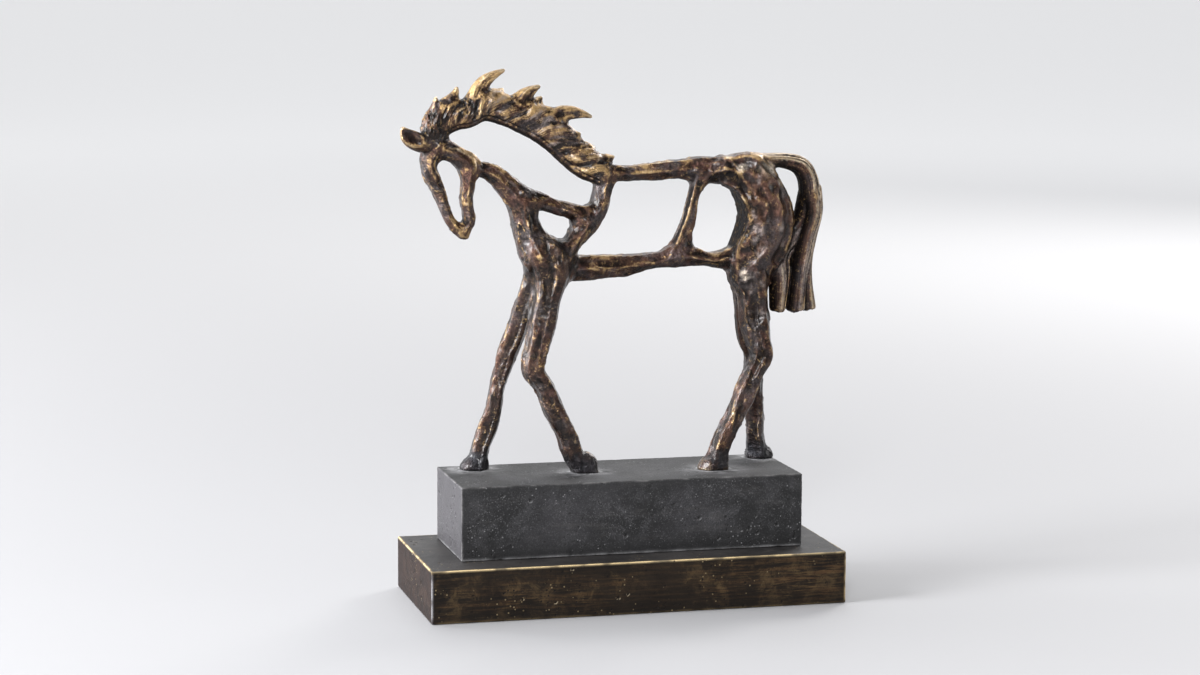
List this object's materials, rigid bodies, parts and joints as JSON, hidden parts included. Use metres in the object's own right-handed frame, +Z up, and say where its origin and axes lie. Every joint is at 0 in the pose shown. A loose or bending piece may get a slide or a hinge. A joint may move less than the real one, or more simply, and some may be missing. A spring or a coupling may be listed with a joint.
{
  "type": "horse sculpture",
  "caption": "Openwork cast walking horse with flame-like mane and long tail, standing on a stepped rectangular plinth; tabletop ornament.",
  "frame": {"origin": "centre of the plinth's underside", "axes": "+Z up, -X the way the horse faces, -Y its near side"},
  "size_m": [0.3956, 0.158, 0.4777],
  "materials": {
    "bronze": "antique bronze, dark hollows and rubbed gold high spots",
    "charcoal_block": "matte charcoal casting with small pits and lighter edges",
    "bronzed_slab": "dark brown-bronze with streaks, pits and rubbed bright edges"
  },
  "bodies": {
    "root": {"horse": "bronze", "upper_block": "charcoal_block", "lower_slab": "bronzed_slab"}
  },
  "joints": []
}
